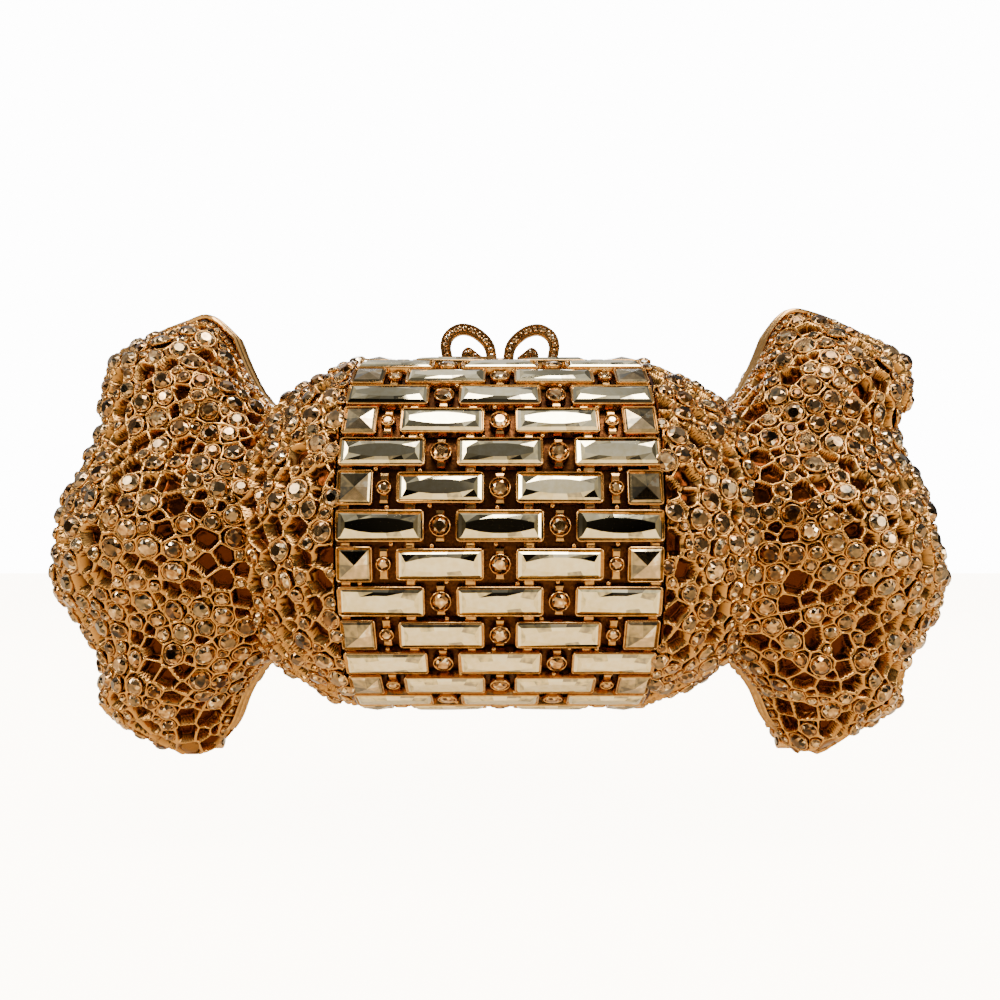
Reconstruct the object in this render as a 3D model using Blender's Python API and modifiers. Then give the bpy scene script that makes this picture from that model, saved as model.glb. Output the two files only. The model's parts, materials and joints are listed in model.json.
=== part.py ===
"""Evening bag: a rigid metal clutch in the shape of a wrapped sweet, set with stones.

The bag stands on the floor (z = 0) on the feet of its two wrapper ends.
X runs along the bag, the front is at -Y. Each half is a root or a moving body:
the back half stays, the front half opens forwards on two hinges at the feet.
"""
import math

import bmesh
import bpy
from mathutils import Matrix, Vector

MM = 0.001

# Driving dimensions, in millimetres
AXIS_HEIGHT = 48.6            # the barrel's axis above the floor
STONE_FACE = (39.0, 36.0)     # half height and half depth over the stones
ROW_THICKNESS = 1.8
GAP = 0.3                     # clearance between touching pieces
SHELL_THICKNESS = 1.5
WRAPPER_X = 30.6              # where the wrapper starts, along the bag
WRAPPER_START = (38.4, 35.4)  # half height and half depth where the wrapper meets the barrel
NECK_X = 50.5
NECK = (28.2, 25.0)
WRAPPER_THICKNESS = 1.8
SEAM = 1.8                    # half of the gap that the frame rails fill
FRAME_THICKNESS = 1.35
FRAME_WIDTH = 7.0
FRAME_INSET = 0.4             # the frame's edge lies this far inside the wrappers' outline
LINING_THICKNESS = 1.2
CAP_SHARE = 0.02              # what is left of a section's height where a skin is closed
PANEL_INSET = 8.8
PANEL_THICKNESS = 1.2
PANEL_SHARE = 0.45            # of the shoulder's length, where the outline it is cut from starts
ROW_COUNT = 15
ROW_PITCH = 7.08
ROW_HEIGHT = 6.3
ROW_HALF_LENGTH = 29.8
HINGE_Z = 1.6
KNUCKLE_RADIUS = 1.6
NOTCH_TOP = 6.2               # the frame is notched up to here over each hinge
LEAF_TOP = 9.0
POCKET_REACH = 5.2            # half length, half depth and floor of the pocket for the leaves
POCKET_DEPTH = 3.2
POCKET_FLOOR = 4.5
KNUCKLE_LENGTH = 4.3
PIN_RADIUS = 0.7
PIN_HOLE_RADIUS = 1.0
HINGE_X = 67.0                # middle of each hinge
HINGE_NOTCH = (59.5, 77.5)    # where the frame is cut back, along the bag
EYE_PLAY = 0.15               # half of the play between the two eyes of a hinge
PIN_OVERHANG = 0.5
BAND_RADIUS = 1.15            # half of the width of the clasp's band
CLASP_OFFSET = 0.2            # how far an ear's middle lies from the seam plane
CLASP_BASE = (0.7, 14.0)      # its reach along the bag
CLASP_BASE_DEPTH = (0.15, 2.7)
CLASP_BASE_HEIGHT = (38.5, 40.1)   # above the barrel's axis

# Sections of the lining: distance along the bag, half height, half depth
LINING_SECTIONS = [(-47, 25, 21), (-40, 30, 27), (-31, 34.6, 31.6), (31, 34.6, 31.6),
                   (40, 30, 27), (47, 25, 21)]

# One ear of the clasp, from its outer leg over the top and down beside the middle:
# (distance from the middle of the bag, height above the barrel's axis)
CLASP_EAR = [(12.0, 40.6), (12.5, 43.2), (11.6, 45.6), (9.2, 47.0), (6.4, 46.6), (3.9, 44.9),
             (2.4, 42.8), (1.9, 40.6)]

# Rim of each wrapper end in the seam plane, from its bottom corner round to its top corner:
# (distance from the middle of the bag, height above the barrel's axis)
LEFT_RIM = [(60, -43), (66, -47.4), (73.5, -46.3), (82.5, -43.5), (89, -38.5), (88.8, -30.5),
            (92.5, -22), (97.5, -14), (98, -5), (96.5, 5), (93.3, 14.5), (90, 23),
            (90, 32), (87.5, 40), (79.5, 44.8), (71.5, 48.2), (66, 49.6), (60, 44.5)]
RIGHT_RIM = [(60.5, -42), (66, -46.8), (72.5, -46.5), (81.5, -42.6), (88.5, -39), (89.8, -33),
             (92, -27.5), (96.4, -19), (98.2, -11), (96, -2), (94.2, 8), (90.3, 17),
             (89.6, 24.5), (93.5, 32), (91, 40.5), (80, 46.6), (71.5, 50.2), (65.5, 50.8),
             (60.5, 45)]
RIMS = {-1: LEFT_RIM, 1: RIGHT_RIM}
FAR = 130.0                   # further than any part of the bag reaches
SIDES = {"left": -1, "right": 1}
HALVES = {"front": -1, "back": 1}

COLOURS = {
    "gold": ((0.80, 0.52, 0.30), 0.25, 1.0),
    "rail": ((0.86, 0.60, 0.34), 0.18, 1.0),
    "stones": ((0.88, 0.80, 0.62), 0.08, 0.3),
    "lining": ((0.62, 0.47, 0.28), 0.75, 0.0),
    "steel": ((0.62, 0.62, 0.62), 0.3, 1.0),
}


def clear_scene():
    for obj in list(bpy.data.objects):
        bpy.data.objects.remove(obj, do_unlink=True)


def new_collection(name):
    collection = bpy.data.collections.new(name)
    bpy.context.scene.collection.children.link(collection)
    return collection


def material(kind, name):
    colour, roughness, metallic = COLOURS[kind]
    mat = bpy.data.materials.new(name + "_" + kind)
    mat.use_nodes = True
    shader = mat.node_tree.nodes["Principled BSDF"]
    shader.inputs["Base Color"].default_value = (*colour, 1)
    shader.inputs["Roughness"].default_value = roughness
    shader.inputs["Metallic"].default_value = metallic
    return mat


def add_object(name, data, kind, body):
    """Link a part to the bag, in its own finish, on its body's empty."""
    obj = bpy.data.objects.new(name, data)
    PARTS.objects.link(obj)
    data.materials.append(material(kind, name))
    obj.parent = body
    obj.matrix_parent_inverse = body.matrix_world.inverted()
    return obj


def mesh_of(obj):
    """Swap a curve object for its mesh, with its caps welded on."""
    bpy.context.view_layer.update()
    evaluated = obj.evaluated_get(bpy.context.evaluated_depsgraph_get())
    mesh = bpy.data.meshes.new_from_object(evaluated)
    work = bmesh.new()
    work.from_mesh(mesh)
    bmesh.ops.remove_doubles(work, verts=work.verts, dist=0.00001)
    bmesh.ops.recalc_face_normals(work, faces=work.faces)
    work.to_mesh(mesh)
    work.free()
    return mesh


def extruded(name, loops, low, high, direction, kind, body):
    """A flat outline, given as loops of two coordinates, made solid from low to high.

    Direction "x" reads the outline as (y, z) and runs along X. Direction "y" reads it
    as (x, z) and runs along Y.
    """
    curve = bpy.data.curves.new(name + "_outline", "CURVE")
    curve.dimensions = "2D"
    curve.fill_mode = "BOTH"
    curve.extrude = (high - low) / 2 * MM
    for loop in loops:
        spline = curve.splines.new("POLY")
        spline.points.add(len(loop) - 1)
        for point, (first, second) in zip(spline.points, loop):
            point.co = (first * MM, second * MM, 0, 1)
        spline.use_cyclic_u = True
    outline = bpy.data.objects.new(name + "_outline", curve)
    PARTS.objects.link(outline)
    middle = (low + high) / 2 * MM
    if direction == "x":
        place = Matrix(((0, 0, 1, middle), (1, 0, 0, 0), (0, 1, 0, 0), (0, 0, 0, 1)))
    else:
        place = Matrix(((1, 0, 0, 0), (0, 0, -1, middle), (0, 1, 0, 0), (0, 0, 0, 1)))
    mesh = mesh_of(outline)
    mesh.transform(place)
    mesh.materials.clear()
    bpy.data.objects.remove(outline, do_unlink=True)
    return add_object(name, mesh, kind, body)


def box(name, low, high, collection):
    """A box between two corners given in millimetres."""
    bpy.ops.mesh.primitive_cube_add(size=1)
    obj = bpy.context.active_object
    obj.name = name
    for holder in list(obj.users_collection):
        holder.objects.unlink(obj)
    collection.objects.link(obj)
    size = [(b - a) * MM for a, b in zip(low, high)]
    centre = [(a + b) / 2 * MM for a, b in zip(low, high)]
    obj.data.transform(Matrix.Translation(centre) @ Matrix.Diagonal((*size, 1)))
    return obj


def cutter(name, low, high):
    obj = box(name, low, high, CUTTERS)
    obj.hide_render = True
    obj.display_type = "WIRE"
    return obj


def cut(obj, tool):
    modifier = obj.modifiers.new("cut_" + tool.name, "BOOLEAN")
    modifier.operation = "DIFFERENCE"
    modifier.object = tool


def smooth(obj, degrees=40):
    obj.data.shade_smooth()
    obj.data.set_sharp_from_angle(angle=math.radians(degrees))


def grid_surface(name, rows, kind, body, thickness):
    """An open skin through rows of points, given its wall inwards."""
    work = bmesh.new()
    made = [[work.verts.new(point * MM) for point in row] for row in rows]
    for row, following in zip(made, made[1:]):
        for i in range(len(row) - 1):
            work.faces.new((row[i], row[i + 1], following[i + 1], following[i]))
    bmesh.ops.remove_doubles(work, verts=work.verts, dist=0.00001)
    bmesh.ops.dissolve_degenerate(work, edges=work.edges, dist=0.000005)
    bmesh.ops.recalc_face_normals(work, faces=work.faces)
    mesh = bpy.data.meshes.new(name)
    work.to_mesh(mesh)
    work.free()
    away = sum((face.normal.dot(face.center - Vector((0, 0, AXIS_HEIGHT * MM)))
                * face.area for face in mesh.polygons), 0.0)
    if away < 0:
        mesh.flip_normals()
    obj = add_object(name, mesh, kind, body)
    wall = obj.modifiers.new("wall", "SOLIDIFY")
    wall.thickness = thickness * MM
    wall.offset = -1
    wall.use_rim = True
    return obj


def rim_point(rim, t):
    """A smooth curve through the rim's points, for t from -1 at the bottom to 1 at the top."""
    place = (t + 1) / 2 * (len(rim) - 1)
    index = min(int(place), len(rim) - 2)
    part = place - index
    points = [Vector(rim[min(max(index + k, 0), len(rim) - 1)]) for k in (-1, 0, 1, 2)]
    before, start, end, after = points
    return 0.5 * (2 * start + (end - before) * part
                  + (2 * before - 5 * start + 4 * end - after) * part ** 2
                  + (3 * start - before - 3 * end + after) * part ** 3)


def shoulder_point(side, half, s, t):
    """The wrapper from the barrel's end (s = 0) to the neck (s = 1)."""
    angle = t * math.pi / 2
    x = WRAPPER_X + (NECK_X - WRAPPER_X) * s
    height = WRAPPER_START[0] + (NECK[0] - WRAPPER_START[0]) * s ** 1.45
    depth = WRAPPER_START[1] + (NECK[1] - WRAPPER_START[1]) * s ** 1.4
    return Vector((side * x, half * depth * math.cos(angle),
                   AXIS_HEIGHT + height * math.sin(angle)))


def fan_point(side, half, u, t):
    """The flared end, from the neck (u = 0) to its rim (u = 1), in three puffed lobes."""
    angle = t * math.pi / 2
    rim = rim_point(RIMS[side], t)
    neck = Vector((NECK_X, NECK[0] * math.sin(angle)))
    x = neck.x + (rim.x - neck.x) * u
    z = neck.y + (rim.y - neck.y) * u ** (1 + 0.55 * abs(t))
    pillow = max(1 - u ** 2.6, 0) ** 0.62
    across = max(math.cos(angle), 0) ** (1 - 0.3 * min(u / 0.3, 1))
    lobes = 1 + 0.13 * min(u / 0.4, 1) * math.cos(2 * math.pi * t / 0.72)
    depth = (NECK[1] + 6 * u) * pillow * across * lobes
    foot = 4.8 * math.exp(-((u - 0.88) / 0.13) ** 2 - ((t + 0.84) / 0.14) ** 2)
    return Vector((side * x, half * depth, max(AXIS_HEIGHT + z - foot, 0)))


def wrapper_rows(side, half, shoulder_steps=4, fan_steps=9, around=24):
    spread = [math.sin(math.pi / 2 * (2 * i / around - 1)) * 0.35
              + (2 * i / around - 1) * 0.65 for i in range(around + 1)]
    rows = [[shoulder_point(side, half, k / shoulder_steps, t) for t in spread]
            for k in range(shoulder_steps)]
    for k in range(fan_steps + 1):
        u = math.sin(math.pi / 2 * k / fan_steps) * 0.5 + k / fan_steps * 0.5
        rows.append([fan_point(side, half, u, t) for t in spread])
    return rows


def section_rows(half, sections, around):
    """Half-elliptical sections along X, each given as (x, half height, half depth)."""
    angles = [math.pi * (i / around - 0.5) for i in range(around + 1)]
    return [[Vector((x, half * depth * math.cos(angle), AXIS_HEIGHT + height * math.sin(angle)))
             for angle in angles] for x, height, depth in sections]


def capped(sections):
    """The same sections with both ends drawn in almost to the axis, which closes them."""
    (first, height, _), (last, last_height, _) = sections[0], sections[-1]
    return [(first, CAP_SHARE * height, 0), *sections, (last, CAP_SHARE * last_height, 0)]


def seam_outline(shoulder_steps=5, fan_steps=4, rim_steps=46):
    """The bag's outline in the seam plane, anticlockwise seen from the front."""
    def side_outline(side):
        top = [shoulder_point(side, 0, k / shoulder_steps, 1) for k in range(shoulder_steps)]
        top += [fan_point(side, 0, k / fan_steps, 1) for k in range(fan_steps)]
        rim = [rim_point(RIMS[side], 1 - 2 * k / rim_steps) for k in range(rim_steps + 1)]
        bottom = [fan_point(side, 0, 1 - k / fan_steps, -1) for k in range(1, fan_steps)]
        bottom += [shoulder_point(side, 0, 1 - k / shoulder_steps, -1)
                   for k in range(shoulder_steps + 1)]
        points = [(p.x, p.z) for p in top]
        points += [(side * p.x, AXIS_HEIGHT + p.y) for p in rim]
        return points + [(p.x, p.z) for p in bottom]
    right = side_outline(1)
    left = side_outline(-1)
    return right + left[::-1]


def distance_to_loop(point, loop):
    nearest = math.inf
    for start, end in zip(loop, loop[1:] + loop[:1]):
        edge = Vector(end) - Vector(start)
        along = (point - Vector(start)).dot(edge) / max(edge.length_squared, 1e-12)
        foot = Vector(start) + edge * min(max(along, 0), 1)
        nearest = min(nearest, (point - foot).length)
    return nearest


def inset(loop, distance):
    """Move a closed loop inwards, and drop the points where it would fold over itself."""
    area = sum(a[0] * b[1] - b[0] * a[1] for a, b in zip(loop, loop[1:] + loop[:1]))
    sign = 1 if area > 0 else -1
    moved = []
    for before, point, after in zip(loop[-1:] + loop[:-1], loop, loop[1:] + loop[:1]):
        edge = (Vector(after) - Vector(before)).normalized()
        place = Vector(point) + Vector((-edge.y, edge.x)) * sign * distance
        clear = distance_to_loop(place, loop) > distance * 0.97
        if clear and (not moved or (place - Vector(moved[-1])).length > 0.4):
            moved.append(tuple(place))
    return moved


def angle_at(arc):
    """The angle on the stones' ellipse at an arc length from its foremost line."""
    height, depth = STONE_FACE
    steps = 400
    angle = 0.0
    for _ in range(steps):
        speed = math.hypot(height * math.cos(angle), depth * math.sin(angle))
        angle += arc / steps / speed
    return angle


def build_frame(half_name, half, body):
    outline = inset(seam_outline(), FRAME_INSET)
    inner = inset(seam_outline(), FRAME_INSET + FRAME_WIDTH)
    low, high = sorted((half * (SEAM - GAP - FRAME_THICKNESS), half * (SEAM - GAP)))
    frame = extruded(half_name + "_frame", [outline, inner], low, high, "y", "rail", body)
    for side in SIDES.values():
        ends = sorted(side * end for end in HINGE_NOTCH)
        notch = cutter("%s_hinge_notch_%d" % (half_name, side), (ends[0], -4, -3),
                       (ends[1], 4, NOTCH_TOP))
        cut(frame, notch)


def build_barrel(half_name, half, body):
    height = STONE_FACE[0] - ROW_THICKNESS - GAP
    depth = STONE_FACE[1] - ROW_THICKNESS - GAP
    sections = [(-ROW_HALF_LENGTH, height, depth), (ROW_HALF_LENGTH, height, depth)]
    shell = grid_surface(half_name + "_barrel_shell", section_rows(half, sections, 32), "gold",
                         body, SHELL_THICKNESS)
    cut(shell, SEAM_CUTTER)
    smooth(shell)


def build_rows(half_name, half, body):
    height, depth = STONE_FACE
    for index in range(ROW_COUNT):
        middle = ((ROW_COUNT - 1) / 2 - index) * ROW_PITCH
        outer = []
        inner = []
        for k in range(5):
            angle = angle_at(middle + ROW_HEIGHT * (k / 4 - 0.5))
            direction = (half * math.cos(angle), math.sin(angle))
            outer.append((depth * direction[0], AXIS_HEIGHT + height * direction[1]))
            inner.append(((depth - ROW_THICKNESS) * direction[0],
                          AXIS_HEIGHT + (height - ROW_THICKNESS) * direction[1]))
        extruded("%s_stone_row_%02d" % (half_name, index + 1), [outer + inner[::-1]],
                 -ROW_HALF_LENGTH, ROW_HALF_LENGTH, "x", "stones", body)


def build_wrapper(half_name, half, side_name, side, body):
    wrapper = grid_surface("%s_%s_wrapper" % (half_name, side_name), wrapper_rows(side, half),
                           "gold", body, WRAPPER_THICKNESS)
    cut(wrapper, SEAM_CUTTER)
    cut(wrapper, FLOOR_CUTTER)
    cut(wrapper, LEAF_POCKETS[side])
    smooth(wrapper)


def build_lining(half_name, half, body):
    rows = section_rows(half, capped(LINING_SECTIONS), 20)
    lining = grid_surface(half_name + "_lining", rows, "lining", body, LINING_THICKNESS)
    cut(lining, SEAM_CUTTER)
    smooth(lining)


def build_end_panel(half_name, half, side_name, side, body):
    steps = 4
    top, bottom = ([shoulder_point(side, 0, PANEL_SHARE + (1 - PANEL_SHARE) * k / steps, t)
                    for k in range(steps)] + [fan_point(side, 0, k / steps, t)
                                              for k in range(steps)] for t in (1, -1))
    rim = [rim_point(RIMS[side], 1 - 2 * k / 30) for k in range(31)]
    loop = [(p.x, p.z) for p in top] + [(side * p.x, AXIS_HEIGHT + p.y) for p in rim]
    loop += [(p.x, p.z) for p in bottom[::-1]]
    low, high = sorted((half * SEAM, half * (SEAM + PANEL_THICKNESS)))
    extruded("%s_%s_end_panel" % (half_name, side_name), [inset(loop, PANEL_INSET)],
             low, high, "y", "lining", body)


def circle(centre, radius, count=20):
    return [(centre[0] + radius * math.cos(2 * math.pi * k / count),
             centre[1] + radius * math.sin(2 * math.pi * k / count)) for k in range(count)]


def build_hinge(half_name, half, side_name, side, body):
    """A bent bracket: an eye round the pin, and a leaf behind the frame."""
    eye = [(KNUCKLE_RADIUS * math.cos(a), HINGE_Z + KNUCKLE_RADIUS * math.sin(a))
           for a in (math.pi * (0.42 + 1.5 * k / 12) for k in range(13))]
    shelf = NOTCH_TOP - GAP
    leaf = [(SEAM - GAP, shelf - 1), (SEAM + 1, shelf - 1), (SEAM + 1, LEAF_TOP),
            (SEAM, LEAF_TOP), (SEAM, shelf), (0.4, shelf)]
    outline = [(half * y, z) for y, z in eye + leaf]
    hole = circle((0, HINGE_Z), PIN_HOLE_RADIUS, 16)
    start = HINGE_X + (EYE_PLAY if half < 0 else -EYE_PLAY - KNUCKLE_LENGTH)
    low, high = sorted((side * start, side * (start + KNUCKLE_LENGTH)))
    extruded("%s_%s_hinge" % (half_name, side_name), [outline, hole], low, high, "x", "rail", body)


def build_pin(side_name, side, body):
    reach = KNUCKLE_LENGTH + PIN_OVERHANG
    extruded(side_name + "_hinge_pin", [circle((0, HINGE_Z), PIN_RADIUS, 16)],
             side * HINGE_X - reach, side * HINGE_X + reach, "x", "steel", body)


def clasp_path(side, steps=28):
    """One ear of the clasp, as a smooth path through its points."""
    path = [rim_point(CLASP_EAR, 2 * k / steps - 1) for k in range(steps + 1)]
    return [(side * p.x, AXIS_HEIGHT + p.y) for p in path]


def build_clasp(half_name, half, body):
    """The front half carries the left ear and the back half the right ear."""
    side = half
    plane = half * CLASP_OFFSET
    curve = bpy.data.curves.new(half_name + "_clasp_path", "CURVE")
    curve.dimensions = "3D"
    curve.bevel_depth = BAND_RADIUS * MM
    curve.bevel_resolution = 2
    curve.use_fill_caps = True
    path = clasp_path(side)
    spline = curve.splines.new("POLY")
    spline.points.add(len(path) - 1)
    for point, (x, z) in zip(spline.points, path):
        point.co = (x * MM, plane * MM, z * MM, 1)
    rope = bpy.data.objects.new(half_name + "_clasp_path", curve)
    PARTS.objects.link(rope)
    mesh = mesh_of(rope)
    mesh.materials.clear()
    bpy.data.objects.remove(rope, do_unlink=True)
    ear = add_object(half_name + "_clasp_ear", mesh, "rail", body)
    smooth(ear)
    ends = sorted(side * end for end in CLASP_BASE)
    depths = sorted(half * depth for depth in CLASP_BASE_DEPTH)
    low, high = (AXIS_HEIGHT + height for height in CLASP_BASE_HEIGHT)
    base = box("clasp_base", (ends[0], depths[0], low), (ends[1], depths[1], high), PARTS)
    mesh = base.data
    bpy.data.objects.remove(base, do_unlink=True)
    add_object(half_name + "_clasp_base", mesh, "rail", body)


def build_half(half_name, half, body):
    build_frame(half_name, half, body)
    build_barrel(half_name, half, body)
    build_rows(half_name, half, body)
    build_lining(half_name, half, body)
    build_clasp(half_name, half, body)
    for side_name, side in SIDES.items():
        build_wrapper(half_name, half, side_name, side, body)
        build_end_panel(half_name, half, side_name, side, body)
        build_hinge(half_name, half, side_name, side, body)


clear_scene()
PARTS = new_collection("evening_bag")
CUTTERS = new_collection("cutters")
SEAM_CUTTER = cutter("seam_cutter", (-FAR, -SEAM, -FAR), (FAR, SEAM, FAR))
FLOOR_CUTTER = cutter("floor_cutter", (-FAR, -FAR, -FAR), (FAR, FAR, 0))

LEAF_POCKETS = {}
for pocket_side in SIDES.values():
    pocket_ends = sorted(pocket_side * (HINGE_X + reach) for reach in (-POCKET_REACH, POCKET_REACH))
    LEAF_POCKETS[pocket_side] = cutter("leaf_pocket_%d" % pocket_side,
                                       (pocket_ends[0], -POCKET_DEPTH, POCKET_FLOOR),
                                       (pocket_ends[1], POCKET_DEPTH, LEAF_TOP + 1))

hinge_axis = Vector((0, 0, HINGE_Z * MM))
back_body = bpy.data.objects.new("back_half", None)
front_body = bpy.data.objects.new("front_half", None)
for empty in (back_body, front_body):
    empty.location = hinge_axis
    PARTS.objects.link(empty)
bpy.context.view_layer.update()

build_half("back", 1, back_body)
build_half("front", -1, front_body)
for pin_side_name, pin_side in SIDES.items():
    build_pin(pin_side_name, pin_side, back_body)
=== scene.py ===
"""Evening bag in the shape of a wrapped sweet: rose-gold plated metal set with cut stones."""
import json
import math

import bmesh
import bpy
import numpy as np
from mathutils import Matrix, Vector, kdtree, noise

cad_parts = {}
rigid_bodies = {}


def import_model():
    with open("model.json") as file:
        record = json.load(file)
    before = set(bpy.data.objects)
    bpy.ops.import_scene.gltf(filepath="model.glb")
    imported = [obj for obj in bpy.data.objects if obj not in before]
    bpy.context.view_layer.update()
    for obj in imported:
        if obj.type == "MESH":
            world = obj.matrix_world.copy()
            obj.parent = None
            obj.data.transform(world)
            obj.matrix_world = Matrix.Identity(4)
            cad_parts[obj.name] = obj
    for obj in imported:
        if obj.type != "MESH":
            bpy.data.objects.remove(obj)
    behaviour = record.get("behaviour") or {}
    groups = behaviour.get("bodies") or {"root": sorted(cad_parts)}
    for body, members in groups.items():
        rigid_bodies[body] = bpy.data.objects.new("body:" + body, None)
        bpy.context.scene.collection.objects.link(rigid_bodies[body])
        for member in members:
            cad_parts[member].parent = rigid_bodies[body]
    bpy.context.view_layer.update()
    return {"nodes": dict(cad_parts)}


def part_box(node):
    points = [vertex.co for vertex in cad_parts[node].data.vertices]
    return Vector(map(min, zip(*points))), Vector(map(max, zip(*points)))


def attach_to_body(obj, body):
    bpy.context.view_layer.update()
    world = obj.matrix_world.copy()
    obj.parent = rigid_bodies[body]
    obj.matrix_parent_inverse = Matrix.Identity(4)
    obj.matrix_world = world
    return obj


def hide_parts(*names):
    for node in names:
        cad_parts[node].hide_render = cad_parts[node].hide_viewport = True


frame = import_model()
MM = 0.001
SIDES = {"left": -1, "right": 1}
HALVES = {"front": -1, "back": 1}

# ------------------------------------ the studio
# A pale table and backdrop under soft boxes. A dark zone straight ahead of the bag gives the
# polished stones something to reflect.

shell_low, shell_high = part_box("front_barrel_shell")
BAG_MIDDLE = Vector((0, 0, (shell_low.z + shell_high.z) / 2))


def linear(colour):
    """An sRGB hex colour as linear RGBA."""
    parts = [int(colour[i:i + 2], 16) / 255 for i in (1, 3, 5)]
    return tuple(c / 12.92 if c <= 0.04045 else ((c + 0.055) / 1.055) ** 2.4 for c in parts) + (1,)


def add_node(tree, kind, inputs=None, **settings):
    """Add a node: settings are its properties, inputs its sockets' values or links."""
    node = tree.nodes.new(kind)
    for name, value in settings.items():
        setattr(node, name, value)
    for name, value in (inputs or {}).items():
        if isinstance(value, bpy.types.NodeSocket):
            tree.links.new(value, node.inputs[name])
        else:
            node.inputs[name].default_value = value
    return node


def put(obj):
    """Put an object into the scene, and hand it back."""
    bpy.context.scene.collection.objects.link(obj)
    return obj


def new_material(name):
    mat = bpy.data.materials.new(name)
    mat.use_nodes = True
    mat.node_tree.nodes.clear()
    return mat, mat.node_tree


def finish_material(tree, shader):
    add_node(tree, "ShaderNodeOutputMaterial", {"Surface": shader.outputs[0]})


def ramp(tree, painted_shade_attribute, stops):
    """A colour ramp with its stops given as (place, hex colour)."""
    node = add_node(tree, "ShaderNodeValToRGB", {"Fac": painted_shade_attribute})
    elements = node.color_ramp.elements
    while len(elements) < len(stops):
        elements.new(0.5)
    for element, (place, colour) in zip(elements, stops):
        element.position = place
        element.color = linear(colour)
    return node.outputs["Color"]


def spread(tree, value, low, high, to_low, to_high):
    """A value from low to high, mapped onto another range and kept inside it."""
    limits = {"From Min": low, "From Max": high, "To Min": to_low, "To Max": to_high}
    return add_node(tree, "ShaderNodeMapRange", {"Value": value, **limits}).outputs["Result"]


def calculate(tree, operation, first, second):
    return add_node(tree, "ShaderNodeMath", {0: first, 1: second}, operation=operation).outputs[0]


floor_mesh = bpy.data.meshes.new("studio_floor")
FLOOR_REACH = 4.0
FLOOR_DROP = 0.022         # low enough for the front half to open without meeting it
VIEWED_GLOW = 11.0         # the paper's own light where it is looked at, as on a light table
PAPER_GLOW = 0.16          # and for everything else
floor_mesh.from_pydata([(x * FLOOR_REACH, y * FLOOR_REACH, -FLOOR_DROP)
                        for x, y in ((-1, -1), (1, -1), (1, 1), (-1, 1))], [], [(0, 1, 2, 3)])
studio_floor = put(bpy.data.objects.new("studio_floor", floor_mesh))
paper, tree = new_material("white_paper_floor")
grain = add_node(tree, "ShaderNodeTexNoise", {"Scale": 400.0, "Detail": 2.0})
tint = ramp(tree, grain.outputs["Fac"], [(0.3, "#EED8B2"), (0.7, "#F3E0BE")])
sheen = add_node(tree, "ShaderNodeBsdfPrincipled", {"Base Color": tint, "Roughness": 0.9})
viewed = add_node(tree, "ShaderNodeLightPath").outputs["Is Camera Ray"]
glow = add_node(tree, "ShaderNodeMath", {0: viewed, 1: VIEWED_GLOW, 2: PAPER_GLOW},
                operation="MULTIPLY_ADD")
tree.links.new(glow.outputs[0], sheen.inputs["Emission Strength"])
sheen.inputs["Emission Color"].default_value = linear("#FFF6E6")
finish_material(tree, sheen)
floor_mesh.materials.append(paper)

world = bpy.data.worlds.new("studio_air")
bpy.context.scene.world = world
world.use_nodes = True
tree = world.node_tree
tree.nodes.clear()
direction = add_node(tree, "ShaderNodeTexCoord").outputs["Generated"]
parts = add_node(tree, "ShaderNodeSeparateXYZ", {"Vector": direction})
height = parts.outputs["Z"]
sky = ramp(tree, spread(tree, height, -0.2, 1.0, 0.0, 1.0),
           [(0.0, "#D8BE98"), (0.25, "#F2E6D2"), (0.6, "#FFFFFF"), (1.0, "#F4F8FF")])
lift = spread(tree, height, 0.0, 0.65, 0.22, 0.84)
# the room's bright and dark areas, which keep the reflections lively
room = add_node(tree, "ShaderNodeTexNoise", {"Vector": direction, "Scale": 3.2, "Detail": 1.0})
areas = spread(tree, room.outputs["Fac"], 0.4, 0.6, 0.15, 1.35)
# the dark zone, wider than it is high
squeezed = add_node(tree, "ShaderNodeVectorMath", {0: direction, 1: (0.45, 1.0, 1.25)},
                    operation="MULTIPLY")
from_ahead = add_node(tree, "ShaderNodeVectorMath",
                      {0: squeezed.outputs["Vector"], 1: (-0.06, -1.0, 0.03)}, operation="DISTANCE")
shade = spread(tree, from_ahead.outputs["Value"], 0.2, 0.5, 0.03, 1.0)
strength = calculate(tree, "MULTIPLY", calculate(tree, "MULTIPLY", shade, lift), areas)
reflected = add_node(tree, "ShaderNodeBackground", {"Color": sky, "Strength": strength})
backdrop = add_node(tree, "ShaderNodeBackground", {"Color": (1, 1, 1, 1), "Strength": 14.0})
viewed = add_node(tree, "ShaderNodeLightPath").outputs["Is Camera Ray"]
mixed = add_node(tree, "ShaderNodeMixShader",
                 {0: viewed, 1: reflected.outputs[0], 2: backdrop.outputs[0]})
add_node(tree, "ShaderNodeOutputWorld", {"Surface": mixed.outputs[0]})

# (name, place, width, height, watts)
SOFT_BOXES = [("top_box", (0.08, -0.30, 0.70), 0.40, 0.30, 6.0),
              ("left_box", (-0.60, -0.40, 0.40), 0.16, 0.45, 3.4),
              ("right_box", (0.65, -0.35, 0.28), 0.16, 0.45, 2.6),
              ("back_box", (0.0, 0.70, 0.45), 0.50, 0.30, 4.0)]
for box_name, place, width, tall, watts in SOFT_BOXES:
    light = bpy.data.lights.new(box_name, "AREA")
    light.shape = "RECTANGLE"
    light.size = width
    light.size_y = tall
    light.energy = watts
    lamp = put(bpy.data.objects.new(box_name, light))
    lamp.location = place
    lamp.rotation_euler = (BAG_MIDDLE - Vector(place)).to_track_quat("-Z", "Y").to_euler()

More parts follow.
